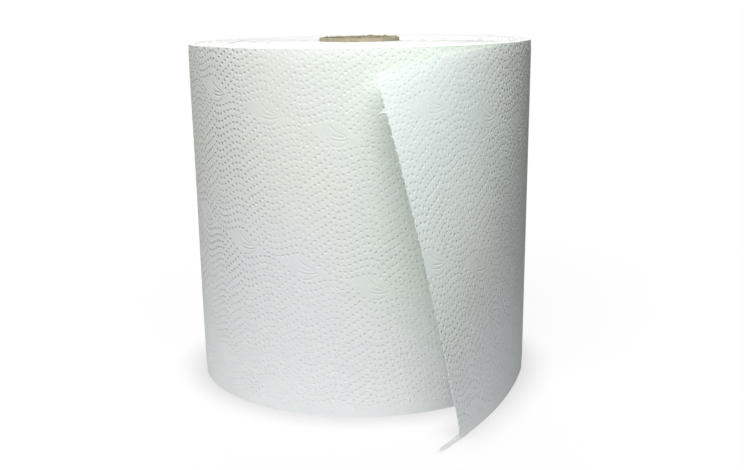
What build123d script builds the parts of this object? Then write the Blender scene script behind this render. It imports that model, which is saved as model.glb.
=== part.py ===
from build123d import *
from math import cos, degrees, floor, radians, sin
import os

# A large roll of embossed paper towel, standing on one end, in millimetres.
# The origin is the centre of the end that it stands on, and +Z runs up the core.
# The web is one strip of paper: it winds outwards from the core, clockwise seen from above,
# and its last stretch peels off the roll as a loose leaf that stands on its lower edge.

# Wound paper, and the small gap that opens under the loose leaf where it leaves the roll
roll_radius = 130.0
web_width = 256.0
sheet_thickness = 0.5
leaf_lift = 0.3

# The line between groups of turns, which runs as one spiral over both ends of the roll
turn_spacing = 17.0
turn_line_width = 0.8
turn_line_depth = 0.7

# Cardboard core, pushed up so that it stands proud of the paper
core_radius = 30.5
core_wall = 2.0
core_length = 256.0
core_rise = 3.0
core_clearance = 0.05

# Loose leaf: where it leaves the roll, and how much wider than the roll its edges curve
peel_angle = -14.0
top_slack = 16.0
foot_slack = 300.0

# Outline of the leaf seen from the front: reaches run back from the line where it leaves the roll
top_reach = 116.1
top_droop = 16.4
foot_reach = 61.8
foot_rise = 8.5
free_edge_bow = 2.6

# The lower corner, which is drawn out into a thin tail along the ground
tail_reach = 65.6
tail_rise = 2.2
tip_reach = 77.4

# Torn perforation along the free edge: the paper ties left between the slits, and one long shred
tie_pitch = 8.2
tie_height = 1.2
tie_length = 0.9
shred_drop = 21.1
shred_height = 2.6
shred_length = 3.6

# Worked out from the sizes above
turn_step = sheet_thickness + leaf_lift
peel_direction = Vector(cos(radians(peel_angle)), sin(radians(peel_angle)), 0)
peel_point = peel_direction * roll_radius
blank_length = 1.8 * top_reach
up = Vector(0, 0, 1)


def half_turns(outer_radius, inward_step, count):
    # A spiral of half circles that joins smoothly: their centres lie in turn on either side
    # of the axis, and each radius is half an inward step less than the one before
    for k in range(count):
        side = 1 if k % 2 == 0 else -1
        centre = peel_direction * (side * inward_step / 4)
        radius = outer_radius - (2 * k + 1) * inward_step / 4
        yield centre, radius, peel_angle + 180 * k


# The wound turns, whose outline steps in where the loose leaf leaves them
with BuildPart() as wound_turns:
    with BuildSketch() as wound_section:
        with BuildLine() as wound_outline:
            for centre, radius, start_angle in half_turns(roll_radius, turn_step, 2):
                CenterArc(centre, radius, start_angle, 180)
            Line(peel_point, peel_direction * (roll_radius - turn_step))
        make_face()
        Circle(core_radius + core_clearance, mode=Mode.SUBTRACT)
    extrude(amount=web_width)

# The spiral line on the upper end, which starts under the loose leaf and runs in to the core
line_start_radius = roll_radius - sheet_thickness - leaf_lift / 2
line_room = line_start_radius - core_radius - core_clearance - turn_line_width
line_half_turns = floor(2 * line_room / turn_spacing)
with BuildPart() as turn_line:
    with BuildLine(Plane.XY.offset(web_width)) as line_path:
        for centre, radius, start_angle in half_turns(line_start_radius, turn_spacing, line_half_turns):
            CenterArc(centre, radius, start_angle, 180)
    line_start = peel_direction * line_start_radius + up * web_width
    with BuildSketch(Plane(origin=line_start, x_dir=peel_direction, z_dir=up.cross(peel_direction))):
        half_width = turn_line_width / 2
        Polygon((-half_width, 0), (0, turn_line_depth), (half_width, 0), align=None)
    sweep(path=line_path.wires()[0])

# The loose leaf: a sheet ruled between the curve of its foot and the curve of its top edge,
# which both leave the roll along a tangent, then trimmed to its outline seen from the front
with BuildPart() as loose_leaf:
    for height, slack in ((0, foot_slack), (web_width, top_slack)):
        with BuildSketch(Plane.XY.offset(height)):
            with BuildLine():
                outer_radius = roll_radius + slack
                inner_radius = outer_radius - sheet_thickness
                turned_angle = degrees(blank_length / outer_radius)
                outer_edge = CenterArc(peel_direction * -slack, outer_radius, peel_angle, -turned_angle)
                inner_edge = CenterArc(peel_direction * -slack, inner_radius, peel_angle, -turned_angle)
                Line(outer_edge @ 0, inner_edge @ 0)
                Line(outer_edge @ 1, inner_edge @ 1)
            make_face()
    loft(ruled=True)
    with BuildSketch(Plane.XZ) as leaf_outline:
        with BuildLine():
            free_corner = (peel_point.X - top_reach, web_width - top_droop)
            foot_corner = (peel_point.X - foot_reach, foot_rise)
            tail_start = (peel_point.X - tail_reach, tail_rise)
            tail_tip = (peel_point.X - tip_reach, 0)
            tail_edge = Line(tail_tip, tail_start)
            TangentArc(tail_start, foot_corner, tangent=tail_edge % 1)
            free_edge = SagittaArc(foot_corner, free_corner, -free_edge_bow)
            TangentArc((peel_point.X, web_width), free_corner, tangent=(-1, 0))
            Polyline((peel_point.X, web_width), (roll_radius, web_width), (roll_radius, 0), tail_tip)
        make_face()
        tie_count = floor(free_edge.length / tie_pitch)
        with Locations(*[free_edge @ ((k + 0.5) / tie_count) for k in range(tie_count)]):
            Rectangle(2 * tie_length, tie_height)
        with Locations(free_edge @ (1 - shred_drop / free_edge.length)):
            Polygon(
                (tie_length, shred_height / 2),
                (-shred_length, shred_height / 4),
                (tie_length, -shred_height / 2),
                align=None,
            )
    extrude(amount=2 * roll_radius, mode=Mode.INTERSECT)

# One strip of paper: the wound turns with the spiral line on both ends, and the loose leaf
with BuildPart() as paper_web:
    add(wound_turns.part)
    add(turn_line.part, mode=Mode.SUBTRACT)
    mirror(turn_line.part, about=Plane.XY.offset(web_width / 2), mode=Mode.SUBTRACT)
    add(loose_leaf.part)
paper_web.part.label = "paper_web"

# The core tube, free in the paper's bore by a small clearance
with BuildPart() as cardboard_core:
    with BuildSketch(Plane.XY.offset(core_rise)):
        Circle(core_radius)
        Circle(core_radius - core_wall, mode=Mode.SUBTRACT)
    extrude(amount=core_length)
cardboard_core.part.label = "cardboard_core"

os.makedirs("parts", exist_ok=True)
export_step(paper_web.part, "parts/paper_web.step")
export_step(cardboard_core.part, "parts/cardboard_core.step")
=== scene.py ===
import math

import bpy
import numpy as np
from mathutils import Matrix, Vector


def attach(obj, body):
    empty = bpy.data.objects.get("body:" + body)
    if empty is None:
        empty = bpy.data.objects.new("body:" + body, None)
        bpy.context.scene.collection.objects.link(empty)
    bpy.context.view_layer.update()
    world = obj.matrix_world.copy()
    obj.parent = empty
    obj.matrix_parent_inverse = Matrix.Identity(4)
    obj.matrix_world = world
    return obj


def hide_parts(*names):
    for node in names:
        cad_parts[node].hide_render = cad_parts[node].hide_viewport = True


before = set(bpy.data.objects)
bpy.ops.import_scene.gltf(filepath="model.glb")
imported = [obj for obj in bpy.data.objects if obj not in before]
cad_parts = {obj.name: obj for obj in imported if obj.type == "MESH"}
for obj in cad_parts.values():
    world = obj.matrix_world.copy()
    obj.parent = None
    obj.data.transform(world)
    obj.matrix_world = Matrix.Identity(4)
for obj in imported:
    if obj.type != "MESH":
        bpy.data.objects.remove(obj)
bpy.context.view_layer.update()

mm = 0.001
peelAngle = math.radians(-14)   # where the loose leaf leaves the roll, seen from above
peelDirection = np.array([math.cos(peelAngle), math.sin(peelAngle)])


class Wire:
    # one output of a shader node; arithmetic on it adds Math nodes

    def __init__(self, shader, socket):
        self.shader = shader
        self.socket = socket

    def math(self, operation, *others):
        inputs = dict(enumerate((self, *others)))
        return self.shader.add("ShaderNodeMath", {"operation": operation}, inputs)

    def __add__(self, other):
        return self.math("ADD", other)

    def __mul__(self, other):
        return self.math("MULTIPLY", other)

    def __sub__(self, other):
        return self.math("SUBTRACT", other)

    def __rsub__(self, other):
        return (self * -1) + other

    def __truediv__(self, other):
        return self.math("DIVIDE", other)

    __radd__ = __add__
    __rmul__ = __mul__

    def ramp(self, low, high):
        # smooth step from 0 at low to 1 at high
        inputs = {"Value": self, "From Min": low, "From Max": high}
        return self.shader.add("ShaderNodeMapRange", {"interpolation_type": "SMOOTHSTEP"}, inputs)


class Shader:

    def __init__(self, name, tree=None):
        if tree is None:
            self.material = bpy.data.materials.new(name)
            self.material.use_nodes = True
            tree = self.material.node_tree
        self.tree = tree
        tree.nodes.clear()

    def add(self, kind, settings=None, inputs=None, output=0):
        node = self.tree.nodes.new(kind)
        for key, value in (settings or {}).items():
            setattr(node, key, value)
        for key, value in (inputs or {}).items():
            if isinstance(value, Wire):
                self.tree.links.new(value.socket, node.inputs[key])
            else:
                node.inputs[key].default_value = value
        return Wire(self, node.outputs[output])

    def split(self, vector):
        first = self.add("ShaderNodeSeparateXYZ", None, {0: vector})
        return [Wire(self, socket) for socket in first.socket.node.outputs]

    def web(self):
        # where each point lies on the paper or card, in mm
        return self.split(self.add("ShaderNodeAttribute", {"attribute_name": "web"}, output="Vector"))

    def vector(self, operation, first, second=None, output=0):
        inputs = {0: first} if second is None else {0: first, 1: second}
        return self.add("ShaderNodeVectorMath", {"operation": operation}, inputs, output)

    def noise(self, vector, scale, detail=2.0, roughness=0.5):
        inputs = {"Vector": vector, "Scale": scale, "Detail": detail, "Roughness": roughness}
        return self.add("ShaderNodeTexNoise", None, inputs)

    def mix(self, factor, first, second):
        inputs = {0: factor, 6: first, 7: second}
        return self.add("ShaderNodeMix", {"data_type": "RGBA"}, inputs, output=2)

    def bump(self, height, strength, distance):
        inputs = {"Height": height, "Strength": strength, "Distance": distance}
        return self.add("ShaderNodeBump", None, inputs)

    def principled(self, **inputs):
        names = {key.replace("_", " "): value for key, value in inputs.items()}
        shaded = self.add("ShaderNodeBsdfPrincipled", None, names)
        return self.finish(shaded)

    def finish(self, shaded):
        node = self.tree.nodes.new("ShaderNodeOutputMaterial")
        self.tree.links.new(shaded.socket, node.inputs["Surface"])
        return self.material


# The emboss, in mm on the web: x runs along the paper and y down from its upper edge.
# Rows of dots follow waves, which turn over at each sloping line of sprigs.
emboss = {
    "sprigX": 577.7, "sprigY": 42.0,                    # middle of one sprig
    "pitchX": 49.5, "pitchY": 98.6, "slope": 0.27,      # sprigs along a line, and line to line
    "shift": -24.4,                                     # how far each line is moved along
    "wave": 3.8, "extraWave": 3.3,
    "marginAbove": 2.4, "marginBelow": 3.6, "rows": 19,
    "dotPitch": 3.85, "stagger": 0.85, "dotRadius": 1.3,
    "meet": (10.0, 2.2),                                # where a sprig's strokes meet, from its middle
    "strokes": [                                        # start, middle and end of each, from there
        ((-15.5, -9.8), (-8.5, -4.0), (-1.0, -1.0)),
        ((-13.5, -2.2), (-8.0, -0.6), (-1.0, -0.8)),
        ((-14.5, 0.2), (-8.0, 1.9), (1.5, 0.2)),
        ((-14.0, 4.4), (-9.5, 6.1), (0.5, 0.8)),
    ],
}


def circleThrough(a, b, c):
    (ax, ay), (bx, by), (cx, cy) = a, b, c
    d = 2 * (ax * (by - cy) + bx * (cy - ay) + cx * (ay - by))
    a2, b2, c2 = ax**2 + ay**2, bx**2 + by**2, cx**2 + cy**2
    ux = (a2 * (by - cy) + b2 * (cy - ay) + c2 * (ay - by)) / d
    uy = (a2 * (cx - bx) + b2 * (ax - cx) + c2 * (bx - ax)) / d
    return ux, uy, math.hypot(ax - ux, ay - uy)


def dotMask(along, down):
    e = emboss
    turn = 2 * math.pi / e["pitchX"]
    band = (down / e["pitchY"]).math("FLOOR")
    inBand = down - band * e["pitchY"]
    sign = 1 - (band * 0.5).math("FRACT") * 4
    wave = ((inBand * (math.pi / e["pitchY"])).math("SINE") * e["extraWave"] + e["wave"]) * sign
    level = inBand - wave * (along * turn).math("COSINE") - e["marginBelow"]
    rowPitch = (e["pitchY"] - e["marginAbove"] - e["marginBelow"]) / e["rows"]
    row = (level / rowPitch).math("FLOOR")
    offRow = ((level / rowPitch).math("FRACT") - 0.5) * rowPitch
    offDot = (((along - row * e["stagger"]) / e["dotPitch"]).math("FRACT") - 0.5) * e["dotPitch"]
    tilt = e["slope"] - wave * turn * (along * turn).math("SINE")
    rise = offRow + offDot * tilt
    distance = (offDot * offDot + rise * rise).math("SQRT")
    inside = level.math("GREATER_THAN", 0.0) * level.math("LESS_THAN", rowPitch * e["rows"])
    return distance.ramp(e["dotRadius"], 0.2) * inside


def sprigMask(along, down):
    e = emboss
    line = (down / e["pitchY"] + 0.5).math("FLOOR")
    local = along - line * e["shift"]
    cell = (local / e["pitchX"] + 0.5).math("FLOOR")
    x = local - cell * e["pitchX"] - e["meet"][0]
    y = down - line * e["pitchY"] + (x + e["meet"][0]) * e["slope"] - e["meet"][1]
    mask = None
    for start, middle, end in e["strokes"]:
        centreX, centreY, radius = circleThrough(start, middle, end)
        fromX, fromY = x - centreX, y - centreY
        gap = ((fromX * fromX + fromY * fromY).math("SQRT") - radius).math("ABSOLUTE")
        side = (fromY * (1 if centreY < 0 else -1)).ramp(0.0, 0.5)
        ends = (x - start[0]).ramp(0.0, 3.0) * (end[0] - x).ramp(0.0, 3.0)
        stroke = gap.ramp(0.85, 0.1) * ends * side
        mask = stroke if mask is None else mask.math("MAXIMUM", stroke)
    return mask


# The paper's surface. Places are in metres, scales are those of the noise on them,
# and heights are shares of the depth in each look.
paper = {
    "middleAt": (0.03, 0.12), "topAt": (0.13, 0.25), "groundAt": (0.001, 0.012),
    "topLess": 0.45, "deepMore": (0.8, 1.8),        # depth lost at the top, and gained on the deep side
    "patchScale": 28.0, "patchDepth": (0.7, 0.4),
    "crepeScale": 0.85, "crepeStretch": 0.4, "crepeHeight": (1.35, 0.6),
    "fibreScale": 1500.0, "fibreHeight": 0.18,
    "softScale": 110.0, "softHeight": 0.9,
    "sprigDepth": 0.45,                             # of the depth of a dot
    "cloudScale": 8.0, "cloudReach": 0.05, "lowShare": 0.9,
    "peelAt": (0.108, 0.126), "peelShade": (0.835, 0.888, 0.845, 1),
    # the pressed colour is a painted shade for the dimples
    "crepeShade": (0.62, 0.62, 0.60, 1), "dimplePaintedShade": (0.5, 0.51, 0.49, 1),
}


def paperMaterial(name, look):
    p = paper
    shader = Shader(name)
    place = shader.add("ShaderNodeTexCoord", output="Object")
    right, _, high = shader.split(place)
    x, y, _ = shader.web()
    along = x - emboss["sprigX"]
    down = y - emboss["sprigY"] - along * emboss["slope"]
    dots, sprigs = dotMask(along, down), sprigMask(along, down)
    # the emboss is deepest towards one side, and low down the paper's crepe shows more
    middle, top = high.ramp(*p["middleAt"]), high.ramp(*p["topAt"])
    depth = middle * (1 - look["lowDepth"]) + look["lowDepth"] - top * p["topLess"]
    deepLeast, deepMiddle = p["deepMore"]
    depth = depth + right.ramp(*look["deepAt"]) * (middle * deepMiddle + deepLeast)
    patchLeast, patchVaries = p["patchDepth"]
    patches = shader.noise(place, p["patchScale"]).ramp(0.25, 0.7) * patchVaries + patchLeast
    depth = depth * patches * high.ramp(*p["groundAt"])
    crepePlace = shader.add("ShaderNodeCombineXYZ", None, {0: x, 1: y * p["crepeStretch"], 2: 0.0})
    crepe = shader.noise(crepePlace, p["crepeScale"], 3.0, 0.6)
    fibre = shader.noise(place, p["fibreScale"], 2.0, 0.6)
    soft = shader.noise(place, p["softScale"])
    pressed = dots.math("MAXIMUM", sprigs * p["sprigDepth"])
    crepeMost, crepeFades = p["crepeHeight"]
    height = pressed * depth * -1 + crepe * (crepeMost - middle * crepeFades)
    height = height + fibre * p["fibreHeight"] + soft * p["softHeight"]
    normal = shader.bump(height, 1.0, look["depth"])

    # painted light: broad tints by place in warm, green and cool white, and a lighter leaf low down
    cloud = (shader.noise(place, p["cloudScale"], 1.0).ramp(0.3, 0.7) - 0.5) * p["cloudReach"]
    across = (right + cloud).ramp(*look["across"])
    low = (high + right * look["lowSlope"] + cloud).ramp(*look["lowAt"])
    colour = shader.mix(across, look["left"], look["right"])
    colour = shader.mix(low * p["lowShare"], colour, look["low"])
    # one shade where the leaf leaves the roll
    colour = shader.mix(right.ramp(*p["peelAt"]), colour, p["peelShade"])
    colour = shader.mix(crepe.ramp(0.4, 0.75) * 0.05, colour, p["crepeShade"])
    # painted shade in the pressed dots and sprigs, as the bump casts none of its own
    colour = shader.mix(pressed * 0.02, colour, p["dimplePaintedShade"])
    rough = 0.88 + fibre * 0.1
    return shader.principled(
        Base_Color=colour, Roughness=rough, Normal=normal, Specular_IOR_Level=0.2)


# The cut ends of the turns, with fine lines that follow the winding and painted shade in the grooves
# between them
turnEnds = {
    "linePitch": 0.55,      # in mm
    "wanderScale": 60.0, "fluffScale": 900.0, "depth": 0.0003,
    "paintedGrooveShade": 0.07, "fluffShade": 0.05,
    "colour": (0.75, 0.76, 0.745, 1), "shade": (0.6, 0.6, 0.58, 1),
}


def endMaterial():
    t = turnEnds
    shader = Shader("turnEnds")
    place = shader.add("ShaderNodeTexCoord", output="Object")
    radius, _, _ = shader.web()
    lines = (radius * (2 * math.pi / t["linePitch"])).math("SINE") * 0.5 + 0.5
    wander = shader.noise(place, t["wanderScale"], 3.0, 0.6).ramp(0.3, 0.7)
    fluff = shader.noise(place, t["fluffScale"], 3.0, 0.6)
    normal = shader.bump(lines * wander * 0.6 + fluff * 0.4, 0.7, t["depth"])
    # painted shade in the grooves between the turns, and darker fluff at random
    shade = (1 - lines) * wander * t["paintedGrooveShade"] + fluff.ramp(0.35, 0.7) * t["fluffShade"]
    colour = shader.mix(shade, t["colour"], t["shade"])
    rough = 0.9 + fluff * 0.08
    return shader.principled(
        Base_Color=colour, Roughness=rough, Normal=normal, Specular_IOR_Level=0.2)


def addPiece(name, points, faces, web, materials, slots=None, sharpAngle=50, node=""):
    mesh = bpy.data.meshes.new(name)
    mesh.from_pydata(np.asarray(points).tolist(), [], faces)
    mesh.update()
    layer = mesh.attributes.new("web", "FLOAT_VECTOR", "POINT")
    layer.data.foreach_set("vector", np.ascontiguousarray(web, dtype=np.float32).ravel())
    for material in materials:
        mesh.materials.append(material)
    if slots is not None:
        mesh.polygons.foreach_set("material_index", np.array(slots, dtype=np.int32))
    mesh.polygons.foreach_set("use_smooth", [True] * len(mesh.polygons))
    mesh.set_sharp_from_angle(angle=math.radians(sharpAngle))
    piece = bpy.data.objects.new(name, mesh)
    bpy.context.scene.collection.objects.link(piece)
    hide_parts(node)
    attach(piece, "root")
    print(name, len(mesh.vertices), "points", len(faces), "faces")
    return piece


def smoothRandom(seed, count, lowest, highest):
    # a sum of waves with seeded rates and phases, about -1 to 1
    rng = np.random.default_rng(seed)
    rates = rng.uniform(lowest, highest, count)
    phases = rng.uniform(0, 2 * math.pi, count)

    def value(s):
        waves = (np.sin(2 * math.pi * rate * s + phase) for rate, phase in zip(rates, phases))
        return sum(waves) / count**0.5

    return value


# The wound turns, in mm
wound = {
    "radius": 130.0, "width": 256.0, "bore": 30.6,
    "step": 0.8,                            # the outermost turn steps in by this at the peel line
    "edgeRound": 0.45, "edgeReach": 11.0,   # its soft edges lean in a little at both ends
    "bulge": 0.22, "bulgeTwist": 0.31,      # its slight waves, which turn a little on the way up
    "columns": 240, "sideRows": 46, "nearEdge": [0.0, 1.5, 4.0, 7.0],
    "turnPitch": 2.0, "samples": 3,         # the turns that show on the ends, and mesh rows for each
    "endRows": 144, "endInset": 0.25, "settleRows": 4, "groove": 0.45, "unevenness": 0.28,
    "look": {
        "depth": 0.00038, "lowDepth": 0.95, "deepAt": (-0.05, -0.12),
        # places and colours of the painted light tints
        "across": (-0.075, 0.0), "lowSlope": 0.5, "lowAt": (0.13, 0.07),
        "left": (0.865, 0.89, 0.83, 1), "right": (0.83, 0.89, 0.825, 1),
        "low": (0.862, 0.888, 0.895, 1),
    },
}


def makeRoll():
    w = wound
    columns, samples, endRows = w["columns"], w["samples"], w["endRows"]
    points, web, faces, slots = [], [], [], []

    def addPoint(radius, column, z, x, y):
        angle = peelAngle + 2 * math.pi * column / columns
        points.append((radius * math.cos(angle) * mm, radius * math.sin(angle) * mm, z * mm))
        web.append((x, y, 0.0))
        return len(points) - 1

    # side: the outermost turn
    bulge = smoothRandom(3, 5, 1, 4)
    between = np.linspace(w["edgeReach"], w["width"] - w["edgeReach"], w["sideRows"] + 1)
    heights = w["nearEdge"] + list(between) + [w["width"] - z for z in w["nearEdge"][::-1]]
    side = []
    for column in range(columns + 1):
        share = column / columns
        ring = []
        for z in heights:
            up = z / w["width"]
            twist = w["bulgeTwist"] * up
            # the wave comes back to nought at the peel line
            ends = bulge(twist) * (1 - share), bulge(1 + twist) * share
            sag = w["bulge"] * (bulge(share + twist) - ends[0] - ends[1])
            lean = w["edgeRound"] * max(1 - min(z, w["width"] - z) / w["edgeReach"], 0.0) ** 2
            radius = w["radius"] - w["step"] * share + sag * math.sin(math.pi * up) - lean
            ring.append(addPoint(radius, column, z, share * 2 * math.pi * w["radius"], w["width"] - z))
        side.append(ring)
    for here, there in zip(side, side[1:] + side[:1]):
        for quad in zip(here, there, there[1:], here[1:]):
            faces.append(quad)
            slots.append(0)

    # ends: one spiral of turns, whose edges stand at slightly different heights
    uneven = smoothRandom(5, 9, 0.15, 2.6)
    innerRings = []
    for z0, outward, start in ((0.0, -1, 40), (w["width"], 1, 0)):
        grid = {}
        for row in range(endRows + 1):
            for column in range(columns + 1):
                if column == columns and row + samples <= endRows:
                    continue
                turns = column / columns + row / samples
                radius = w["radius"] - w["edgeRound"] - w["endInset"] - w["turnPitch"] * turns
                lift = w["unevenness"] * (uneven(turns + start) - 1)
                dip = w["groove"] if row % samples == 0 else 0.0
                z = max(z0 + outward * (lift - dip) * min(row / w["settleRows"], 1.0), 0.0)
                grid[column, row] = addPoint(radius, column, z, radius, 0.0)
        rim = []
        for column in range(columns + 1):
            radius = w["radius"] - w["edgeRound"] - w["step"] * column / columns
            rim.append(addPoint(radius, column, z0, w["radius"], 0.0))
        inner = [addPoint(w["bore"], column, z0, w["bore"], 0.0) for column in range(columns + 1)]
        innerRings.append(inner)

        def at(column, row):
            # the last column is the first one, a turn further in
            if column == columns and row + samples <= endRows:
                return grid[0, row + samples]
            return grid[column, row]

        lines = []
        for column in range(columns + 1):
            lines.append([rim[column]] + [at(column, row) for row in range(endRows + 1)] + [inner[column]])
        for here, there in zip(lines, lines[1:]):
            for quad in zip(here, there, there[1:], here[1:]):
                faces.append(quad if outward > 0 else quad[::-1])
                slots.append(1)
    lower, upper = innerRings
    for column in range(columns):
        faces.append((lower[column + 1], lower[column], upper[column], upper[column + 1]))
        slots.append(1)
    materials = [paperMaterial("embossedPaper", w["look"]), endMaterial()]
    addPiece("paper_roll", points, faces, web, materials, slots,
             node="paper_web")


# The loose leaf, in mm
leaf = {
    "radius": 130.0, "width": 256.0,
    "topSlack": 16.0, "footSlack": 300.0,       # how much wider than the roll the two edges curve
    "thickness": 0.35, "flatLength": 171.0, "columns": 110,
    "corner": (10.4, 239.6), "topCurve": 419.4,
    "foot": (63.4, 8.5), "bow": 2.6,            # the free edge, seen from the front
    "tailHeight": 3.4, "tailFlare": 1.2, "tailLength": 27.0, "tailLean": 40, "tailLift": 2.0,
    "ties": 28, "tieShift": -1.2, "tieHeight": 0.8, "tieReach": 1.0,
    "tieRows": [-1.7, -0.8, -0.4, 0, 0.4, 0.8, 1.7, 3.0, 4.4],
    "shred": 25, "shredHeight": 1.4, "shredReach": 6.8, "shredDrop": 3.8,
    "buckle": 0.7, "ripple": 0.3,
    "webShift": (-27.3, 11.6), "webSpan": 233.7,    # where the emboss falls on the leaf
    "look": {
        "depth": 0.00034, "lowDepth": 2.0, "deepAt": (0.08, 0.125),
        # places and colours of the painted light tints, lighter low down
        "across": (0.05, 0.10), "lowSlope": -1.2, "lowAt": (0.03, -0.03),
        "left": (0.80, 0.885, 0.85, 1), "right": (0.835, 0.89, 0.84, 1),
        "low": (0.89, 0.92, 0.93, 1),
    },
}


def leafPoint(s, z):
    # a point at path length s from the peel line, on the sheet ruled between its two curved edges
    footX, footY = leafEdge(leaf["footSlack"], s)
    topX, topY = leafEdge(leaf["topSlack"], s)
    share = z / leaf["width"]
    return footX * (1 - share) + topX * share, footY * (1 - share) + topY * share


def leafEdge(slack, s):
    radius = leaf["radius"] + slack
    angle = peelAngle - s / radius
    x = radius * np.cos(angle) - slack * peelDirection[0]
    y = radius * np.sin(angle) - slack * peelDirection[1]
    return x, y


def freeEdge(heights):
    # path length from the peel line to the free edge at each height
    (cornerX, cornerZ), (footX, footZ) = leaf["corner"], leaf["foot"]
    s = np.linspace(100, 200, 1001)
    reach = []
    for z in heights:
        if z >= footZ:
            t = (z - footZ) / (cornerZ - footZ)
            edgeX = footX + (cornerX - footX) * t + 4 * leaf["bow"] * t * (1 - t)
            reach.append(np.interp(-edgeX, -leafPoint(s, z)[0], s))
    low = heights[heights < footZ]
    tailZ = leaf["tailHeight"]
    flare = leaf["tailFlare"] * np.clip((footZ - low) / (footZ - tailZ), 0, 1) ** 2
    tail = leaf["tailLength"] * np.clip(1 - (low / tailZ) ** 2, 0, 1)
    return np.concatenate([reach[0] + flare + tail, reach])


def makeLeaf():
    q = leaf
    rng = np.random.default_rng(11)
    cornerZ, footZ = q["corner"][1], q["foot"][1]
    ties = footZ + (np.arange(q["ties"]) + 0.5) / q["ties"] * (cornerZ - footZ) + q["tieShift"]
    heights = set(np.linspace(0, q["tailHeight"], 12)) | set(np.linspace(q["tailHeight"], footZ, 6))
    for tie in ties:
        heights.update(tie + np.array(q["tieRows"]))
    heights = np.array(sorted(h for h in heights if h < cornerZ - 0.5) + [cornerZ])
    bare = freeEdge(heights)
    torn = np.where(heights > footZ + 1, rng.uniform(-0.05, 0.05, len(heights)), 0)
    for k, tie in enumerate(ties):
        reach, half = q["tieReach"] * rng.uniform(0.6, 1.4), q["tieHeight"]
        if k == q["shred"]:
            reach, half = q["shredReach"], q["shredHeight"]
        torn += reach * np.clip(1 - np.abs(heights - tie) / half, 0, 1) ** 1.5

    share = np.linspace(0, 1, q["columns"] + 1) ** 0.85
    share[-2] = 1 - 0.008
    topX, topZ = None, np.full(len(share), 250.0)
    for _ in range(6):
        topX, _ = leafPoint(share * bare[-1], topZ)
        ahead = np.clip(q["radius"] * peelDirection[0] - topX, 0, None)
        topZ = q["width"] - q["topCurve"] + np.sqrt(q["topCurve"] ** 2 - ahead**2)
    z = heights[:, None] / cornerZ * topZ[None, :]
    low = np.clip(1 - heights / 20, 0, 1)[:, None]
    z = z * (1 - low) + heights[:, None] * low
    s = share[None, :] * bare[:, None] + torn[:, None] * (share[None, :] >= 1)
    x, y = leafPoint(s, z)

    # gentle buckles, which die out at the peel line and at the foot
    grow = np.clip(s / 70, 0, 1) ** 2 * np.clip(z / 30, 0.2, 1)
    buckle = q["buckle"] * np.sin(s / 27 + z / 60) * np.sin(z / 41 + 0.8)
    buckle = buckle + q["ripple"] * np.sin(s / 11 - z / 23)
    out = np.hypot(x, y)
    # the tail leans back over the ground
    tailStart = bare[heights >= footZ][0]
    lean = np.clip((s - tailStart + 4) / 12, 0, 1) * np.clip((8 - z) / 4, 0, 1)
    angle = math.radians(q["tailLean"]) * lean**2 * (3 - 2 * lean)
    belowTop = topZ[None, :] - z
    softEdge = wound["edgeRound"] * np.clip(1 - belowTop / wound["edgeReach"], 0, 1) ** 2
    shift = buckle * grow - z * np.sin(angle) - softEdge
    x, y = x * (1 + shift / out), y * (1 + shift / out)
    # the shred hangs a little
    hang = np.clip(s - bare[:, None] - 1, 0, None)
    z = z * np.cos(angle) - q["shredDrop"] * hang / q["shredReach"]
    z = z + q["tailLift"] * np.clip((s - tailStart) / q["tailLength"], 0, 1) ** 2 * (z < 6)

    front = np.stack([x, y, z], -1)
    normal = np.cross(np.gradient(front, axis=1), np.gradient(front, axis=0))
    normal /= np.maximum(np.linalg.norm(normal, axis=-1, keepdims=True), 1e-9)
    halfway = len(heights) // 2
    outward = np.sign((normal[halfway, 5] * front[halfway, 5] * [1, 1, 0]).sum())
    back = front - normal * outward * q["thickness"]
    back[..., 2] = np.maximum(back[..., 2], 0)
    front[..., 2] = np.maximum(front[..., 2], 0.05)
    points = np.concatenate([front.reshape(-1, 3), back.reshape(-1, 3)]) * mm
    edge = np.where(heights < footZ, tailStart, bare)
    webX = q["webShift"][0] - q["flatLength"] * s / edge[:, None]
    webY = q["webShift"][1] + q["webSpan"] * (1 - heights / cornerZ)[:, None] + 0 * s
    web = np.stack([webX, webY, 0 * s], -1).reshape(-1, 3)

    rows, cols = s.shape
    half = rows * cols
    faces = []
    for r in range(rows - 1):
        for c in range(cols - 1):
            a = r * cols + c
            b, d, e = a + 1, a + cols + 1, a + cols
            faces.append((a, e, d, b))
            faces.append((half + a, half + b, half + d, half + e))
    # the sheet's edge, once round
    loop = list(range(cols)) + [r * cols + cols - 1 for r in range(1, rows)]
    loop += [(rows - 1) * cols + c for c in range(cols - 2, -1, -1)]
    loop += [r * cols for r in range(rows - 2, -1, -1)]
    for a, b in zip(loop, loop[1:]):
        faces.append((a, b, half + b, half + a))
    materials = [paperMaterial("leafPaper", q["look"])]
    piece = addPiece("loose_leaf", points, faces, np.concatenate([web, web]), materials,
                     sharpAngle=60, node="paper_web")


# The card core, in mm
core = {
    "outer": 30.5, "inner": 28.5, "low": 3.0, "high": 258.7, "highest": 259.5, "columns": 240,
    "levels": (40.0, 120.0, 200.0, 245.0, 252.0, 256.0),    # mesh rows on the wall
    "frayFrom": 256.0, "fray": 0.22, "ragged": 0.16,
    # torn bits of the top edge: angle and half width in degrees, height in mm
    "tears": [
        (72, 7, 0.9), (58, 3, 0.6), (46, 5, 0.7), (18, 4, 0.6), (-20, 5, 0.3), (150, 4, 0.4), (-75, 9, 0.2),
    ],
    "stripWidth": 95.0, "stripLean": 0.62,      # the card is wound as a strip, with a seam that climbs
}


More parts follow.
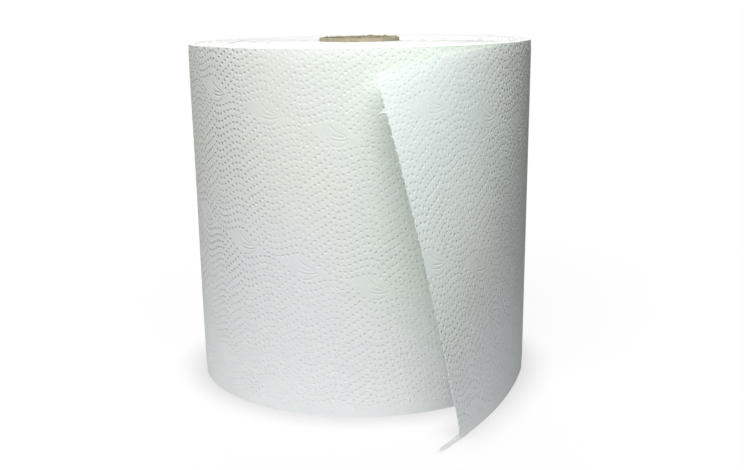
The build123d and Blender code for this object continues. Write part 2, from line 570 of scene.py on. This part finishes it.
def cardMaterial():
    shader = Shader("brownCard")
    place = shader.add("ShaderNodeTexCoord", output="Object")
    turn, height, _ = shader.web()
    strip = ((height + turn * core["stripLean"]) / core["stripWidth"]).math("FRACT")
    seam = (strip - 0.5).math("ABSOLUTE").ramp(0.494, 0.5)
    grain = shader.noise(place, 700.0, 4.0, 0.65)
    mottle = shader.noise(place, 90.0, 3.0, 0.6)
    colour = shader.mix(mottle.ramp(0.3, 0.7), (0.36, 0.315, 0.215, 1), (0.46, 0.415, 0.30, 1))
    colour = shader.mix(grain.ramp(0.4, 0.7) * 0.5, colour, (0.27, 0.23, 0.15, 1))
    colour = shader.mix(seam * 0.6, colour, (0.20, 0.17, 0.11, 1))
    normal = shader.bump(grain * 0.5 - seam, 0.8, 0.0003)
    rough = 0.82 + grain * 0.12
    return shader.principled(
        Base_Color=colour, Roughness=rough, Normal=normal, Specular_IOR_Level=0.3)


def makeCore():
    c = core
    ragged = smoothRandom(21, 8, 3, 40)
    lean = smoothRandom(22, 6, 2, 17)
    points, web, rings = [], [], []
    for column in range(c["columns"]):
        share = column / c["columns"]
        angle = 2 * math.pi * share
        degrees = math.degrees(angle)
        top = c["high"] + c["ragged"] * ragged(share)
        for at, half, rise in c["tears"]:
            away = abs((degrees - at + 180) % 360 - 180)
            top += rise * max(0.0, 1 - away / half) ** 0.6
        top = min(top, c["highest"])
        frayed = c["fray"] * lean(share)
        levels = (c["low"], *c["levels"], top - 1.0, top - 0.15)
        outerLine = [(c["outer"], z) for z in levels]
        innerLine = [(c["inner"], z) for z in levels[::-1]]
        wallMiddle = (c["outer"] + c["inner"]) / 2
        lip = [(c["outer"] - 0.25, top), (wallMiddle, top - 0.12), (c["inner"] + 0.3, top - 0.02)]
        ring = []
        for radius, z in outerLine + lip + innerLine:
            r = radius + frayed * min(max((z - c["frayFrom"]) / 3.0, 0.0), 1.0)
            points.append((r * math.cos(angle) * mm, r * math.sin(angle) * mm, z * mm))
            web.append((share * 2 * math.pi * radius, z, 0.0))
            ring.append(len(points) - 1)
        rings.append(ring)
    faces = []
    for a, b in zip(rings, rings[1:] + rings[:1]):
        for k in range(len(a)):
            after = (k + 1) % len(a)
            faces.append((a[k], b[k], b[after], a[after]))
    addPiece("core_tube", points, faces, web, [cardMaterial()],
             node="cardboard_core")


# Light, as the share of full white that each source gives a surface that faces it
lighting = {
    "sky": 0.03, "floorLit": 0.12, "white": 1.005,
    # a painted contact shadow: the seen floor's glow is taken down under the object's edges
    "paintedContactShadow": 0.42, "contactReach": 0.027,     # how dark the floor is under an edge, and how far out
    # the unseen floor's colour is painted lighter near this place and falls off outwards, a painted pool of
    # light in what it throws back
    "bounceAt": (-0.06, -0.02, 0.0), "bounceNear": 0.76, "bounceFar": 0.2,
    "bounceEnds": (0.45, 0.2), "floorHalf": 40.0,
    "suns": [       # name, degrees right of the camera, degrees up, strength, spread in degrees
        ("key", -28, 40, 0.51, 40),
        ("top", 0, 90, 0.05, 25),
        ("back", 180, 20, 0.42, 30),
    ],
    "lamps": [      # name, place and aim in metres, width in metres, watts
        ("near", (0.09, -0.32, 0.55), (0.0, -0.10, 0.20), 0.3, 1.40),
        ("left", (-0.16, -0.24, 0.46), (-0.06, -0.10, 0.24), 0.3, 0.19),
        ("rim", (-0.13, 0.08, 0.56), (-0.08, 0.04, 0.25), 0.3, 0.42),
    ],
}


def seenDirectly(shader):
    # 1 for what the camera, a mirror or clear glass sees, and 0 for the light on other things
    node = shader.add("ShaderNodeLightPath").socket.node
    kinds = [Wire(shader, node.outputs[f"Is {kind} Ray"]) for kind in ("Camera", "Glossy", "Transmission")]
    return kinds[0].math("MAXIMUM", kinds[1]).math("MAXIMUM", kinds[2])


def poolOfLight(shader, place, lamp, aim, watts):
    # what a small lamp gives the floor at each place, as a share of full white
    toAim = (Vector(aim) - Vector(lamp)).normalized()
    away = shader.vector("SUBTRACT", place, lamp)
    facing = shader.vector("DOT_PRODUCT", away, toAim, output=1).math("MAXIMUM", 0.0)
    reach = shader.vector("LENGTH", away, output=1)
    return facing * (watts * lamp[2] / math.pi**2) / reach.math("POWER", 4.0)


def makeFloor():
    # the seen floor glows by as much as the lamps leave it short of white, so only shadows show
    fromSuns = sum(power * math.sin(math.radians(up)) for _, _, up, power, _ in lighting["suns"])
    onFloor = lighting["sky"] + fromSuns
    lit = lighting["floorLit"]
    shader = Shader("floor")
    place = shader.add("ShaderNodeTexCoord", output="Object")
    glow = lighting["white"] - lit * onFloor
    for _, lamp, aim, _, watts in lighting["lamps"]:
        glow = glow - poolOfLight(shader, place, lamp, aim, watts) * lit
    # painted contact shadow, where ambient occlusion finds the object close by
    inputs = {"Distance": lighting["contactReach"]}
    near = 1 - shader.add("ShaderNodeAmbientOcclusion", {"samples": 16}, inputs, output=1)
    glow = (glow - near * lighting["paintedContactShadow"]).math("MAXIMUM", 0.0)
    dull = {"Roughness": 1.0, "Specular IOR Level": 0.0}
    seen = shader.add("ShaderNodeBsdfPrincipled", None, {
        "Base Color": (lit, lit, lit, 1), "Emission Color": glow, "Emission Strength": 1.0, **dull})
    # painted pool of light: the unseen floor's colour is lighter near the object
    away = shader.vector("DISTANCE", place, lighting["bounceAt"], output=1)
    spread = lighting["bounceNear"] - lighting["bounceFar"]
    bounce = away.ramp(*lighting["bounceEnds"]) * spread + lighting["bounceFar"]
    unseen = shader.add("ShaderNodeBsdfPrincipled", None, {"Base Color": bounce, **dull})
    both = shader.add("ShaderNodeMixShader", None, {0: seenDirectly(shader), 1: unseen, 2: seen})
    material = shader.finish(both)
    mesh = bpy.data.meshes.new("floor")
    half = lighting["floorHalf"]
    corners = [(-half, -half, 0), (half, -half, 0), (half, half, 0), (-half, half, 0)]
    mesh.from_pydata(corners, [], [(0, 1, 2, 3)])
    mesh.materials.append(material)
    floor = bpy.data.objects.new("floor", mesh)
    bpy.context.scene.collection.objects.link(floor)
    print("floor laid")


def addLight(data, toLight, place=(0, 0, 0)):
    light = bpy.data.objects.new(data.name, data)
    bpy.context.scene.collection.objects.link(light)
    turned = toLight.to_track_quat("Z", "Y").to_matrix().to_4x4()
    light.matrix_world = Matrix.Translation(place) @ turned
    light.visible_camera = False


def makeLight():
    world = bpy.data.worlds.new("studio")
    bpy.context.scene.world = world
    world.use_nodes = True
    shader = Shader("studio", world.node_tree)
    strength = seenDirectly(shader) * (1 - lighting["sky"]) + lighting["sky"]
    inputs = {"Color": (1, 1, 1, 1), "Strength": strength}
    background = shader.add("ShaderNodeBackground", None, inputs)
    output = shader.tree.nodes.new("ShaderNodeOutputWorld")
    shader.tree.links.new(background.socket, output.inputs["Surface"])
    for name, right, up, power, spread in lighting["suns"]:
        right, up = math.radians(right), math.radians(up)
        data = bpy.data.lights.new(name, "SUN")
        data.energy = power * math.pi
        data.angle = math.radians(spread)
        flat = math.cos(up)
        addLight(data, Vector((flat * math.sin(right), -flat * math.cos(right), math.sin(up))))
    for name, place, aim, width, watts in lighting["lamps"]:
        data = bpy.data.lights.new(name, "AREA")
        data.shape = "DISK"
        data.size = width
        data.energy = watts
        addLight(data, Vector(place) - Vector(aim), place)
    print("suns and lamps placed")


# Where the photograph was taken from: metres, degrees, and the lens in mm
view = {
    "place": (0, -0.80774, 0.28651), "pitchDown": 15.824, "roll": 0.84,
    "lens": 49.66, "shift": (0.0121, 0.0739),
}


def makeCamera():
    data = bpy.data.cameras.new("camera")
    data.sensor_width = 36.0
    data.lens = view["lens"]
    data.shift_x, data.shift_y = view["shift"]
    camera = bpy.data.objects.new("camera", data)
    bpy.context.scene.collection.objects.link(camera)
    pitch = Matrix.Rotation(math.radians(90 - view["pitchDown"]), 4, "X")
    roll = Matrix.Rotation(math.radians(-view["roll"]), 4, "Z")
    camera.matrix_world = Matrix.Translation(view["place"]) @ pitch @ roll
    bpy.context.scene.camera = camera
    print("camera placed")


makeCamera()
makeRoll()
makeLeaf()
makeCore()
makeFloor()
makeLight()
bpy.context.scene.view_settings.view_transform = "Standard"
